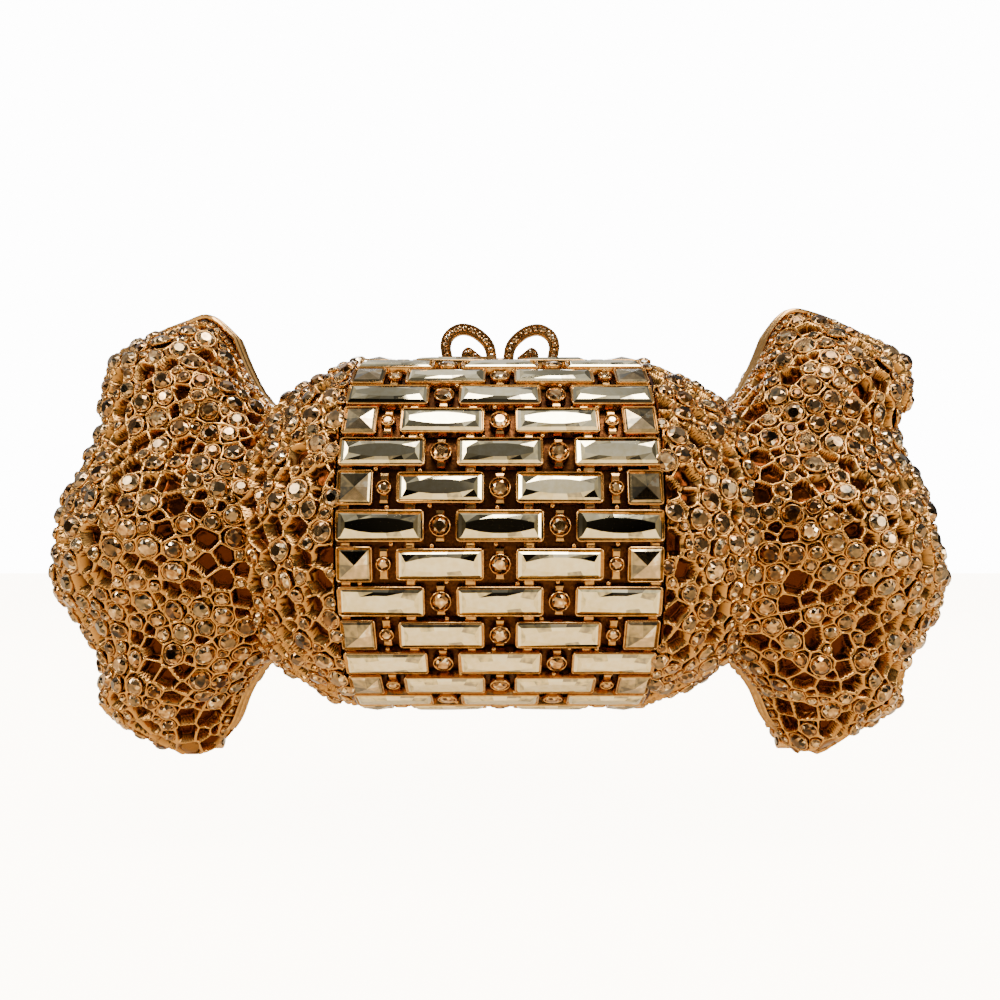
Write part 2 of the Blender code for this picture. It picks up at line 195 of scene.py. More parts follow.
CAMERA_DISTANCE = 168.2
CAMERA_RISE = math.radians(-2.23)
camera_data = bpy.data.cameras.new("camera")
camera_data.sensor_width = 36
camera_data.lens = 26.5
camera_data.shift_y = 0.0333
camera_data.clip_start = 0.005
camera = put(bpy.data.objects.new("camera", camera_data))
sight_line = Vector((0, -math.cos(CAMERA_RISE), math.sin(CAMERA_RISE)))
camera.location = BAG_MIDDLE + CAMERA_DISTANCE * MM * sight_line
camera.rotation_euler = (BAG_MIDDLE - camera.location).to_track_quat("-Z", "Y").to_euler()
bpy.context.scene.camera = camera

# ------------------------------------ barrel shells
# The curved metal plate under the stones, zinc alloy plated rose gold. It is only seen
# between the cups, where its colour is darkened with painted shade for the low light there.


def gold_material(name, pale, deep, roughness, lumps_mm, lump_height_mm, painted_shade_attribute=None):
    """Rose-gold plating over a cast or rolled surface: pale to deep colour by random lumps, or by an
    attribute of painted shade.
    """
    mat, tree = new_material(name)
    place = add_node(tree, "ShaderNodeTexCoord").outputs["Object"]
    lumps = add_node(tree, "ShaderNodeTexNoise", {"Vector": place, "Scale": 1 / (lumps_mm * MM),
                                                  "Detail": 3.0})
    if painted_shade_attribute is None:
        blend = lumps.outputs["Fac"]
    else:
        blend = add_node(tree, "ShaderNodeAttribute", attribute_name=painted_shade_attribute).outputs["Fac"]
    colour = ramp(tree, blend, [(0.0, pale), (1.0, deep)])
    rough = spread(tree, lumps.outputs["Fac"], 0.3, 0.7, roughness * 0.7, roughness * 1.4)
    bump = add_node(tree, "ShaderNodeBump", {"Height": lumps.outputs["Fac"], "Strength": 0.5,
                                             "Distance": lump_height_mm * MM})
    shader = add_node(tree, "ShaderNodeBsdfPrincipled",
                      {"Base Color": colour, "Metallic": 1.0, "Roughness": rough,
                       "Normal": bump.outputs["Normal"]})
    finish_material(tree, shader)
    return mat


def plate(node_name, finish):
    """Give a carried-over part its finish."""
    mesh = frame["nodes"][node_name].data
    mesh.materials.clear()
    mesh.materials.append(finish)


# painted shade: both colours are dark for the shade between the cups
painted_shade_plating = gold_material("dark_recess_plating", "#5E3618", "#1E0D05", 0.35, 0.5, 0.12)
for half_name in HALVES:
    plate(half_name + "_barrel_shell", painted_shade_plating)

# ------------------------------------ cut stones and their cups
# Foil-backed cut crystal: long baguettes, squares and round chatons. Each is pressed into a
# thin-walled cup whose polished lip is folded over the stone's edge.

BAGUETTE = (15.3, 4.9)
SQUARE = 5.9
ROUND_CUP = 2.05           # outer radii
SMALL_ROUND_CUP = 1.45
WALL = 0.38


def mesh_object(name, vertices, faces, smooth=False):
    mesh = bpy.data.meshes.new(name)
    mesh.from_pydata([tuple(v) for v in vertices], [], faces)
    mesh.polygons.foreach_set("use_smooth", [smooth] * len(mesh.polygons))
    mesh.update()
    return bpy.data.objects.new(name, mesh)


def circle(radius, z, count, shift=0.0):
    """Points evenly round the z axis, turned on by a share of their step."""
    angles = [math.tau * (k + shift) / count for k in range(count)]
    return [(radius * math.cos(a), radius * math.sin(a), z) for a in angles]


def between_rings(rings, count, start=0, joined=False):
    """Faces between rings of equal count; joined also closes the last ring on the first."""
    return [(start + r * count + k, start + r * count + (k + 1) % count,
             start + (r + 1) % rings * count + (k + 1) % count, start + (r + 1) % rings * count + k)
            for r in range(rings if joined else rings - 1) for k in range(count)]


def solid_of(rings, start=0):
    """Vertices and faces of a closed solid: rings between a flat back and a flat top."""
    count = len(rings[0])
    top = start + (len(rings) - 1) * count
    faces = [tuple(reversed(range(start, start + count)))] + between_rings(len(rings), count, start)
    return [point for ring in rings for point in ring], faces + [tuple(range(top, top + count))]


def paint_facet_reflections(obj, seed):
    """Give each facet a random brightness from 0 to 1: a painted reflection of the foil's light."""
    rng = np.random.default_rng(seed)
    layer = obj.data.attributes.new("facet", "FLOAT", "FACE")
    layer.data.foreach_set("value", rng.random(len(obj.data.polygons)).astype(np.float32))
    return obj


def round_cut(name, seed):
    """A round chaton of radius 1: table, stars, kites and girdle facets."""
    points = circle(0.56, 0.44, 8) + circle(0.8, 0.31, 8, 0.5) + circle(1, 0.0, 16)
    points += [(0.0, 0.0, -0.5)]
    faces = [tuple(range(8))]
    for k in range(8):
        after = (k + 1) % 8
        star, last_star = 8 + k, 8 + (k - 1) % 8
        girdle = 16 + 2 * k
        faces += [(k, star, after), (k, last_star, girdle, star), (star, girdle, girdle + 1),
                  (star, girdle + 1, 16 + (2 * k + 2) % 16)]
    faces += [(16 + (k + 1) % 16, 16 + k, 32) for k in range(16)]
    return paint_facet_reflections(mesh_object(name, points, faces), seed)


def stepped_cut(rings, name, seed, point=None):
    """Facets between closed rings, over a flat back and under a table or a point."""
    vertices, faces = solid_of(rings)
    if point is not None:
        table = faces.pop()
        faces += [(near, far, len(vertices)) for near, far in zip(table, table[1:] + table[:1])]
        vertices.append(point)
    return paint_facet_reflections(mesh_object(name, vertices, faces), seed)


def baguette_cut(name, seed):
    """A long stone: a narrow border, curved long facets and a boat-shaped table."""
    half_long, half_wide = BAGUETTE[0] / 2, BAGUETTE[1] / 2
    shares = [-1, -0.6, -0.2, 0.2, 0.6, 1]

    def ring(long, wide, bow, z):
        lower = [(s * long, -wide - bow * (1 - s * s), z) for s in shares]
        upper = [(s * long, wide + bow * (1 - s * s), z) for s in reversed(shares)]
        return lower + upper
    rings = [ring(half_long, half_wide, 0, -0.3), ring(half_long, half_wide, 0, 0.05),
             ring(half_long - 0.75, half_wide - 0.5, 0, 0.5), ring(half_long - 1.5, 0.55, 0.85, 0.78)]
    return stepped_cut(rings, name, seed)


def square_cut(name, seed):
    """A square stone: a border and eight facets that meet in a cross."""
    def ring(half, z):
        return [(-half, -half, z), (0, -half, z), (half, -half, z), (half, 0, z),
                (half, half, z), (0, half, z), (-half, half, z), (-half, 0, z)]
    half = SQUARE / 2
    return stepped_cut([ring(half, -0.3), ring(half, 0.05), ring(half - 0.5, 0.45)], name, seed,
                       (0.15, -0.1, 0.95))


def cup_from(outline, name):
    """A cup: its outline is drawn in by the wall, with a rounded lip and a closed floor."""
    profile = [(0.0, -1.75), (0.0, -0.2), (0.08, 0.0), (0.22, 0.08), (WALL - 0.08, 0.0), (WALL, -0.2),
               (WALL, -0.9)]
    cup = mesh_object(name, *solid_of([outline(inward, z) for inward, z in profile]), smooth=True)
    cup.data.set_sharp_from_angle(angle=math.radians(50))
    return cup


def rounded_rectangle(long, wide, corner):
    def outline(inward, z):
        points = []
        for quarter, (sx, sy) in enumerate(((1, 1), (-1, 1), (-1, -1), (1, -1))):
            radius = max(corner - inward, 0.1)
            centre = (sx * (long / 2 - inward - radius), sy * (wide / 2 - inward - radius))
            points += [(centre[0] + radius * math.cos(a), centre[1] + radius * math.sin(a), z)
                       for a in (math.pi / 2 * (quarter + k / 3) for k in range(4))]
        return points
    return outline


def round_outline(radius):
    def outline(inward, z):
        return circle(radius - inward, z, 14)
    return outline


def collection_of(name, objects):
    """A collection of shapes to be placed, picked by their order."""
    group = bpy.data.collections.new(name)
    for order, obj in enumerate(objects):
        obj.name = "%02d_%s" % (order, obj.name)
        obj.data.transform(Matrix.Scale(MM, 4))
        group.objects.link(obj)
    return group


def placing_tree():
    """Puts a picked shape on each point, turned and sized by the point's own attributes."""
    tree = bpy.data.node_groups.new("set_in_place", "GeometryNodeTree")
    for name, kind in (("Geometry", "Geometry"), ("Shapes", "Collection"), ("Finish", "Material"),
                       ("Size", "Float")):
        tree.interface.new_socket(name, in_out="INPUT", socket_type="NodeSocket" + kind)
    tree.interface.new_socket("Geometry", in_out="OUTPUT", socket_type="NodeSocketGeometry")
    given = add_node(tree, "NodeGroupInput").outputs
    shapes = add_node(tree, "GeometryNodeCollectionInfo",
                      {"Collection": given["Shapes"], "Separate Children": True, "Reset Children": True})
    kinds = {"cut": "INT", "turn": "FLOAT_VECTOR", "size": "FLOAT_VECTOR"}
    cut, turn, size = (add_node(tree, "GeometryNodeInputNamedAttribute", {"Name": name}, data_type=kind)
                       for name, kind in kinds.items())
    scaled = add_node(tree, "ShaderNodeVectorMath",
                      {0: size.outputs["Attribute"], "Scale": given["Size"]}, operation="SCALE")
    placed = add_node(tree, "GeometryNodeInstanceOnPoints",
                      {"Points": given["Geometry"], "Instance": shapes.outputs["Instances"],
                       "Pick Instance": True, "Instance Index": cut.outputs["Attribute"],
                       "Rotation": turn.outputs["Attribute"], "Scale": scaled.outputs["Vector"]})
    real = add_node(tree, "GeometryNodeRealizeInstances", {"Geometry": placed.outputs["Instances"]})
    finished = add_node(tree, "GeometryNodeSetMaterial",
                        {"Geometry": real.outputs["Geometry"], "Material": given["Finish"]})
    add_node(tree, "NodeGroupOutput", {"Geometry": finished.outputs["Geometry"]})
    return tree


PLACING = placing_tree()


def place_shapes(name, spots, shapes, finish):
    """One plain mesh from shapes placed at spots: (position, 3x3 turn, scale, cut, tone)."""
    points = bpy.data.meshes.new(name + "_points")
    points.from_pydata([tuple(spot[0]) for spot in spots], [], [])
    given = {"turn": ("FLOAT_VECTOR", "vector", [c for spot in spots for c in spot[1].to_euler("XYZ")]),
             "size": ("FLOAT_VECTOR", "vector", [c for spot in spots for c in spot[2]]),
             "cut": ("INT", "value", [spot[3] for spot in spots]),
             "tone": ("FLOAT", "value", [spot[4] for spot in spots])}
    for key, (kind, field, values) in given.items():
        points.attributes.new(key, kind, "POINT").data.foreach_set(field, values)
    holder = put(bpy.data.objects.new(name + "_points", points))
    modifier = holder.modifiers.new("place", "NODES")
    modifier.node_group = PLACING
    values = {"Shapes": shapes, "Finish": finish, "Size": 1.0}
    for item in PLACING.interface.items_tree:
        if item.in_out == "INPUT" and item.name in values:
            modifier[item.identifier] = values[item.name]
    bpy.context.view_layer.update()
    evaluated = holder.evaluated_get(bpy.context.evaluated_depsgraph_get())
    mesh = bpy.data.meshes.new_from_object(evaluated)
    mesh.name = name
    bpy.data.objects.remove(holder, do_unlink=True)
    return put(bpy.data.objects.new(name, mesh))


def attach(piece, half_name, replaced=None):
    """Say which half a piece rides on, and hide the part that it stands for."""
    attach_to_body(piece, half_name + "_half")
    if replaced:
        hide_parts(replaced)


def crystal_material():
    """Foil-backed lead crystal, cut and polished: every facet is a small tinted mirror.
    The tone attribute runs from clear to smoky topaz, and the facet attribute is a painted
    reflection: a random brightness per facet for the foil's light that it sends back."""
    mat, tree = new_material("foil_backed_crystal")
    facet = add_node(tree, "ShaderNodeAttribute", attribute_name="facet").outputs["Fac"]
    tone = add_node(tree, "ShaderNodeAttribute", attribute_name="tone").outputs["Fac"]
    place = add_node(tree, "ShaderNodeTexCoord").outputs["Object"]
    patch = add_node(tree, "ShaderNodeTexNoise", {"Vector": place, "Scale": 900.0, "Detail": 1.0})
    reflection_patches = spread(tree, patch.outputs["Fac"], 0.3, 0.7, -0.18, 0.18)
    # painted reflections: each facet's random brightness, varied in patches, sets how light its colour is;
    # the ramps give the stone's own tint, clear or smoky
    light = calculate(tree, "ADD", facet, reflection_patches)
    clear = ramp(tree, light, [(0.0, "#9E9176"), (0.3, "#EBD499"), (1.0, "#FFF0C6")])
    smoky = ramp(tree, light, [(0.0, "#140A04"), (0.3, "#54300F"), (0.65, "#96612A"),
                               (0.88, "#D8A562"), (1.0, "#FFE9C2")])
    tint = add_node(tree, "ShaderNodeMix", {"Factor": tone}, data_type="RGBA")
    tree.links.new(clear, tint.inputs[6])
    tree.links.new(smoky, tint.inputs[7])
    polish = spread(tree, tone, 0.0, 1.0, 0.04, 0.13)
    shader = add_node(tree, "ShaderNodeBsdfPrincipled",
                      {"Base Color": tint.outputs[2], "Metallic": 1.0, "Roughness": polish,
                       "Coat Weight": 0.15, "Coat Roughness": 0.02})
    finish_material(tree, shader)
    return mat


crystal = crystal_material()
polished_lip = gold_material("polished_rose_gold_lip", "#DCAE6A", "#925A22", 0.16, 0.8, 0.04)


def tab_shape():
    """A short cast bridge between two cups, with its top edges rounded."""
    rings = [[(sx * 0.5 * w, sy * 0.5 * w, z) for sx, sy in ((1, -1), (1, 1), (-1, 1), (-1, -1))]
             for w, z in ((1.1, -1.8), (1.0, -0.75), (0.82, -0.6))]
    return mesh_object("tab", *solid_of(rings))


def granule_shape():
    """A small round bead of cast metal."""
    rings = [circle(r, z, 8) for r, z in ((0.5, -1.8), (0.5, -0.75), (0.38, -0.48), (0.16, -0.36))]
    return mesh_object("granule", *solid_of(rings), smooth=True)


CUTS = [baguette_cut("baguette", 3), square_cut("square", 8), round_cut("round", 5)]
CUPS = [cup_from(rounded_rectangle(BAGUETTE[0] + 2 * WALL, BAGUETTE[1] + 2 * WALL + 0.3, 0.8),
                 "baguette_cup"),
        cup_from(rounded_rectangle(SQUARE + 2 * WALL, SQUARE + 2 * WALL, 0.6), "square_cup"),
        cup_from(round_outline(ROUND_CUP), "round_cup"),
        cup_from(round_outline(SMALL_ROUND_CUP), "small_round_cup"), tab_shape(), granule_shape()]
stone_cuts = collection_of("stone_cuts", CUTS)
cup_shapes = collection_of("cup_shapes", CUPS)
LONG, SQUARED, ROUND, SMALL_ROUND, TAB, GRANULE = range(6)     # the order in both collections

# ------------------------------------ the barrel's rows
# Rows of cups run round the barrel. Rows of three baguettes with two rounds between them
# take turns with rows of two baguettes between squares and rounds.

STONE_FACE = (39.0, 36.0)
ROW_PITCH = 7.08
ROW_COUNT = 15
LONG_STEP = 10.85          # half of the distance between baguettes
SQUARE_X = 26.35
SMALL_ROUND_X = 21.1
ROUND_STONE = 1.68         # radii
SMALL_ROUND_STONE = 1.1
ALONG_BAG = Vector((1, 0, 0))


def angle_at(arc):
    """The angle on the stones' ellipse at an arc length from its foremost line."""
    angle = 0.0
    steps = 400
    for _ in range(steps):
        angle += arc / steps / math.hypot(STONE_FACE[0] * math.cos(angle), STONE_FACE[1] * math.sin(angle))
    return angle


def facing(out, along):
    """The turn that points a shape's z axis out and its x axis along."""
    return Matrix((along, out.cross(along), out)).transposed()


def on_stone_face(half, angle):
    """The middle of a row on the stones' face, and its turn."""
    place = Vector((0, half * STONE_FACE[1] * math.cos(angle), STONE_FACE[0] * math.sin(angle)))
    out = Vector((0, half * math.cos(angle) / STONE_FACE[1], math.sin(angle) / STONE_FACE[0]))
    return place * MM + BAG_MIDDLE, facing(out.normalized(), ALONG_BAG)


def row_stones(index):
    """What a row holds: (x, cut, cup, scale of the cut, tone)."""
    if index % 2:
        stones = [(x, LONG, LONG, 1.0, 0.0) for x in (-2 * LONG_STEP, 0, 2 * LONG_STEP)]
        return stones + [(x, ROUND, ROUND, ROUND_STONE, 0.95) for x in (-LONG_STEP, LONG_STEP)]
    stones = [(x, LONG, LONG, 1.0, 0.0) for x in (-LONG_STEP, LONG_STEP)]
    stones += [(x, SQUARED, SQUARED, 1.0, 0.6) for x in (-SQUARE_X, SQUARE_X)]
    stones += [(x, ROUND, SMALL_ROUND, SMALL_ROUND_STONE, 0.9) for x in (-SMALL_ROUND_X, SMALL_ROUND_X)]
    return stones + [(0, ROUND, ROUND, ROUND_STONE, 0.95)]


def row_bridges(row, rng):
    """The cast metal between a row's cups and the next row's: (x, y, shape, scale)."""
    bridges = [(x, 0.0, TAB, (1.5, 5.6, 1.0)) for x, cut, *_ in row if cut == ROUND]
    bridges += [(x + rng.uniform(-4, 4), end * 3.3, GRANULE, (1.0, 1.0, 1.0))
                for x, cut, *_ in row if cut == LONG for end in (-1, 1)]
    return bridges + [(step * LONG_STEP + rng.uniform(-0.3, 0.3), end * 3.4, TAB, (1.6, 0.9, 1.0))
                      for step in (-2.6, -1.5, -0.5, 0.5, 1.5, 2.6) for end in (-1, 1)]


for half_name, half in HALVES.items():
    rng = np.random.default_rng(11 + half)
    for index in range(ROW_COUNT):
        centre, turn = on_stone_face(half, angle_at(((ROW_COUNT - 1) / 2 - index) * ROW_PITCH))
        row_name = "%s_stone_row_%02d" % (half_name, index + 1)
        row = row_stones(index)
        cups, stones = [], []
        for x, cut, cup, scale, tone in row:
            is_round = cut == ROUND
            spin = Matrix.Rotation(rng.uniform(0, 6) if is_round else rng.uniform(-0.02, 0.02), 3, "Z")
            tilt = Matrix.Rotation(rng.uniform(-0.025, 0.025), 3, "X")
            tilt = tilt @ Matrix.Rotation(rng.uniform(-0.015, 0.015), 3, "Y")
            spot = centre + turn @ Vector((x, 0, -0.15)) * MM
            cups.append((spot, turn, (1, 1, 1), cup, 0.0))
            sink = turn @ Vector((0, 0, -0.4 if is_round else -0.28)) * MM
            stones.append((spot + sink, turn @ spin @ tilt, (scale, scale, scale), cut, tone))
        for x, y, shape, scale in row_bridges(row, rng):
            cups.append((centre + turn @ Vector((x, y, -0.2)) * MM, turn, scale, shape, 0.0))
        attach(place_shapes(row_name + "_cups", cups, cup_shapes, polished_lip),
               half_name, row_name)
        attach(place_shapes(row_name + "_stones", stones, stone_cuts, crystal),
               half_name)

# ------------------------------------ edge stones
# A line of small chatons in touching cups runs along each edge of a barrel shell, beside the
# frame, where the rows of long stones stop short of the seam.

EDGE_ARC = 55.7
EDGE_STEP = 2.62
EDGE_REACH = 11            # stones to each side of the middle one
for half_name, half in HALVES.items():
    cups, stones = [], []
    rng = np.random.default_rng(70 + half)
    for end in (-1, 1):
        centre, turn = on_stone_face(half, angle_at(EDGE_ARC) * end)
        for k in range(-EDGE_REACH, EDGE_REACH + 1):
            spot = centre + turn @ Vector((k * EDGE_STEP, 0, -0.35)) * MM
            sunk = centre + turn @ Vector((k * EDGE_STEP, 0, -0.7)) * MM
            cups.append((spot, turn, (0.9, 0.9, 1.0), SMALL_ROUND, 0.0))
            spin = turn @ Matrix.Rotation(rng.uniform(0, 6), 3, "Z")
            stones.append((sunk, spin, (0.95, 0.95, 0.95), ROUND, rng.uniform(0.7, 1.0)))
    attach(place_shapes(half_name + "_edge_cups", cups, cup_shapes, polished_lip),
           half_name)
    attach(place_shapes(half_name + "_edge_stones", stones, stone_cuts, crystal),
           half_name)

# ------------------------------------ wrapper ends
# Each end is two cast shells of open, foam-like web. Its cells are cups for round topaz
# stones or are left open as pits, and painted shade darkens the plating in the pits and round
# the stones. A line of small stones and two polished beads finish the edge beside the seam.

BARREL_END = 30.4
NECK_X = 50.5
WRAPPER_START = (38.4, 35.4)
NECK = (28.2, 25.0)
SEAM = 1.8
LEFT_RIM = [(60, -43), (66, -47.4), (73.5, -46.3), (82.5, -43.5), (89, -38.5), (88.8, -30.5),
            (92.5, -22), (97.5, -14), (98, -5), (96.5, 5), (93.3, 14.5), (90, 23),
            (90, 32), (87.5, 40), (79.5, 44.8), (71.5, 48.2), (66, 49.6), (60, 44.5)]
RIGHT_RIM = [(60.5, -42), (66, -46.8), (72.5, -46.5), (81.5, -42.6), (88.5, -39), (89.8, -33),
             (92, -27.5), (96.4, -19), (98.2, -11), (96, -2), (94.2, 8), (90.3, 17),
             (89.6, 24.5), (93.5, 32), (91, 40.5), (80, 46.6), (71.5, 50.2), (65.5, 50.8),
             (60.5, 45)]
RIMS = {-1: np.array(LEFT_RIM), 1: np.array(RIGHT_RIM)}
WEB_ROWS = 231
WEB_COLUMNS = 401
SHOULDER_SHARE = 0.27      # of the rows, from the barrel to the neck
WEB_THICKNESS = 3.0
SKIN_STEP = 10             # the inside is this much coarser
WEB_WALL = 0.1             # least metal between neighbouring cells
CELL_THROWS = [(2.1, 900), (1.75, 3000), (1.45, 7000), (1.15, 10000), (0.9, 12000)]  # radius, tries
RIDGE = (0.12, 0.58)       # from a cell's edge: where its ridge is flat, and where it ends
PIT_DEPTH = 2.2
SEAT_DEPTH = 0.6
CORNER_DEPTH = 1.3
ROUGH_CAST = 0.15          # the height of the cast surface's unevenness
SEAM_FADE = 3.4            # the pits are shallower this close to the seam
STONE_SHARE = 0.62
LEAST_STONE = 0.8          # radius
EDGE_CELL = 0.78           # radius of the cells beside the seam
EDGE_SPACING = 1.68
EDGE_DEPTH = 3.85          # from the seam plane to their middles
EDGE_FOOT = 4.5            # they stop above the hinges
# the beads along the edge: radius, then how far from the seam and inside the outline
RIM_BEADS = [(0.62, 2.42, 0.47), (0.6, 0.75, 0.1)]


def rim_curve(rim, t):
    """A smooth curve through the rim's points, for t from -1 at the bottom to 1 at the top."""
    place = (t + 1) / 2 * (len(rim) - 1)
    index = np.minimum(place.astype(int), len(rim) - 2)
    part = (place - index)[:, None]
    before, start, end, after = (rim[np.clip(index + k, 0, len(rim) - 1)] for k in (-1, 0, 1, 2))
    return 0.5 * (2 * start + (end - before) * part + (2 * before - 5 * start + 4 * end - after) * part ** 2
                  + (3 * start - before - 3 * end + after) * part ** 3)


def wrapper_surface(side, half):
    """Points over one shell: rows from the barrel to the rim, columns from the bottom up."""
    linear_t = np.linspace(-1, 1, WEB_COLUMNS)
    t = 0.65 * linear_t + 0.35 * np.sin(np.pi / 2 * linear_t)
    angle = t * np.pi / 2
    rim = rim_curve(RIMS[side], t)
    shoulder_rows = int(WEB_ROWS * SHOULDER_SHARE)
    surface = []
    for s in np.linspace(0, 1, shoulder_rows, endpoint=False):
        x = BARREL_END + (NECK_X - BARREL_END) * s
        tall = WRAPPER_START[0] + (NECK[0] - WRAPPER_START[0]) * s ** 1.45
        deep = WRAPPER_START[1] + (NECK[1] - WRAPPER_START[1]) * s ** 1.4
        surface.append(np.stack([np.full(WEB_COLUMNS, side * x), half * deep * np.cos(angle),
                                 tall * np.sin(angle)], 1))
    for share in np.linspace(0, 1, WEB_ROWS - shoulder_rows):
        u = 0.5 * share + 0.5 * math.sin(math.pi / 2 * share)
        x = NECK_X + (rim[:, 0] - NECK_X) * u
        low = NECK[0] * np.sin(angle)
        z = low + (rim[:, 1] - low) * u ** (1 + 0.55 * np.abs(t))
        pillow = max(1 - u ** 2.6, 0) ** 0.62
        across = np.maximum(np.cos(angle), 0) ** (1 - 0.3 * min(u / 0.3, 1))
        lobes = 1 + 0.13 * min(u / 0.4, 1) * np.cos(2 * np.pi * t / 0.72)
        depth = (NECK[1] + 6 * u) * pillow * across * lobes
        foot = 4.8 * np.exp(-((u - 0.88) / 0.13) ** 2 - ((t + 0.84) / 0.14) ** 2)
        surface.append(np.stack([side * x, half * depth, z - foot], 1))
    return np.array(surface) * MM + np.array(BAG_MIDDLE)


def surface_normals(surface, side, half):
    along, across = np.gradient(surface, axis=(0, 1))
    normals = np.cross(along, across) * side * half * -1
    length = np.linalg.norm(normals, axis=2, keepdims=True)
    return normals / np.maximum(length, 1e-12)


def edge_row(surface):
    """Cells of one size in a line beside the seam: where they lie in the surface's grid."""
    deep = np.abs(surface[..., 1]) > EDGE_DEPTH * MM
    rows, columns = deep.shape
    spots = [(i, columns - 1 - int(np.argmax(deep[i, ::-1]))) for i in range(rows)]
    spots += [(rows - 1 - int(np.argmax(deep[::-1, j])), j) for j in range(columns - 1, -1, -1)]
    spots += [(i, int(np.argmax(deep[i]))) for i in range(rows - 1, -1, -1)]
    row = []
    for i, j in spots:
        place = surface[i, j]
        clear = all(np.linalg.norm(place - surface[spot]) > EDGE_SPACING * MM for spot in row)
        inside = place[2] > EDGE_FOOT * MM and abs(place[0]) > (BARREL_END + 1) * MM
        if deep[i, j] and clear and inside:
            row.append((i, j))
    return row


def throw_cells(surface, normals, first, seed):
    """Circles of mixed sizes that fill the surface beside the first ones without touching."""
    rng = np.random.default_rng(seed)
    centre = surface[:-1, :-1]
    area = np.linalg.norm(np.cross(surface[1:, :-1] - centre, surface[:-1, 1:] - centre), axis=2).ravel()
    spots = centre.reshape(-1, 3)
    outs = normals[:-1, :-1].reshape(-1, 3)
    chance = area / area.sum()
    kept = list(first)
    places = np.array([place for place, out, size in kept])
    radii = np.array([size for place, out, size in kept])
    for radius, tries in CELL_THROWS:
        picks = rng.choice(len(spots), tries, p=chance)
        sizes = radius * rng.uniform(0.92, 1.06, tries)
        for pick, size in zip(picks, sizes):
            spot = spots[pick]
            touching = np.linalg.norm(places - spot, axis=1) < (radii + size + WEB_WALL) * MM
            if touching.any() or abs(spot[1]) < EDGE_DEPTH * MM:
                continue
            kept.append((Vector(spot), Vector(outs[pick]), size))
            places = np.vstack([places, spot])
            radii = np.append(radii, size)
    return kept


def web_relief(surface, cells, has_stone):
    """How far the web stands out over its surface, in millimetres, and its painted shade."""
    flat = surface.reshape(-1, 3)
    tree = kdtree.KDTree(len(cells))
    for number, (place, out, radius) in enumerate(cells):
        tree.insert(place, number)
    tree.balance()
    relief, pits = np.empty(len(flat)), np.empty(len(flat))
    for i, point in enumerate(flat):
        near = sorted((distance / MM - cells[number][2], number)
                      for _, number, distance in tree.find_n(point, 6))
        (gap, number), (next_gap, _) = near[:2]
        uneven = noise.noise(Vector(point) * 600)
        share = ((next_gap - gap) / 2 + 0.14 * uneven - RIDGE[0]) / (RIDGE[1] - RIDGE[0])
        share = min(max(share, 0), 1)
        share *= share * (3 - 2 * share)
        # painted shade: full in open pits, 0.7 on a stone's seat, up to 0.8 in the corners round a stone,
        # less near the seam
        if not has_stone[number]:
            relief[i], pits[i] = -PIT_DEPTH * share, share
        elif gap < -0.1:
            relief[i], pits[i] = -SEAT_DEPTH, 0.7
        else:
            relief[i], pits[i] = -CORNER_DEPTH * share, 0.8 * share
        relief[i] += ROUGH_CAST * uneven
    from_seam = np.abs(surface[..., 1]) / MM - SEAM
    near_seam = np.clip(from_seam / SEAM_FADE, 0, 1) ** 0.7
    from_barrel = np.clip((np.abs(surface[..., 0]) / MM - BARREL_END) / 0.6, 0, 1)
    shape = surface.shape[:2]
    return (relief.reshape(shape) * MM * near_seam * from_barrel,
            pits.reshape(shape) * np.clip(from_seam / 1.2, 0, 1))


def grid_faces(index):
    """The faces of a grid, given its points' numbers."""
    return np.stack([index[:-1, :-1], index[1:, :-1], index[1:, 1:], index[:-1, 1:]], -1).reshape(-1, 4)


def web_mesh(name, surface, normals, relief, pits, side, half):
    """A closed shell: the relief outside, a coarse skin inside, joined round all four edges."""
    rows, columns = surface.shape[:2]
    outer = surface + normals * relief[..., None]
    outer[..., 1] = half * np.maximum(half * outer[..., 1], SEAM * MM)
    outer[..., 2] = np.maximum(outer[..., 2], 0)
    step = SKIN_STEP
    inner = (surface - normals * WEB_THICKNESS * MM)[::step, ::step]
    inner[..., 1] = half * np.maximum(half * inner[..., 1], SEAM * MM)
    inner[..., 2] = np.maximum(inner[..., 2], 1.2 * MM)
    index = np.arange(rows * columns).reshape(rows, columns)
    inside = np.arange(inner[..., 0].size).reshape(inner.shape[:2]) + rows * columns
    faces = grid_faces(index).tolist() + grid_faces(inside)[:, [0, 3, 2, 1]].tolist()
    edges = [(index[:, 0], inside[:, 0]), (index[-1, :], inside[-1, :]),
             (index[::-1, -1], inside[::-1, -1]), (index[0, ::-1], inside[0, ::-1])]
    for fine, coarse in edges:
        for j, (near, far) in enumerate(zip(coarse[:-1].tolist(), coarse[1:].tolist())):
            run = fine[j * step:(j + 1) * step + 1].tolist()
            faces += [(run[m], near if m < step // 2 else far, run[m + 1]) for m in range(step)]
            faces.append((near, far, run[step // 2]))
    if side * half > 0:
        faces = [face[::-1] for face in faces]
    vertices = np.vstack([outer.reshape(-1, 3), inner.reshape(-1, 3)]).tolist()
    web = mesh_object(name, vertices, faces, smooth=True)
    # painted shade for the material: the relief's values outside, full shade on the coarse inside skin
    painted_shade_values = np.append(pits.ravel(), np.ones(inside.size)).astype(np.float32)
    web.data.attributes.new("pit", "FLOAT", "POINT").data.foreach_set("value", painted_shade_values)
    return put(web)


def lip_shape():
    """A thin ring of radius 1 that holds a chaton."""
    section = ((-0.02, -0.5), (-0.02, 0.02), (0.05, 0.12), (0.12, 0.02), (0.12, -0.5))
    rings = [circle(1 - inward, z, 14) for inward, z in section]
    vertices = [point for ring in rings for point in ring]
    return mesh_object("lip", vertices, between_rings(len(rings), 14, joined=True), smooth=True)


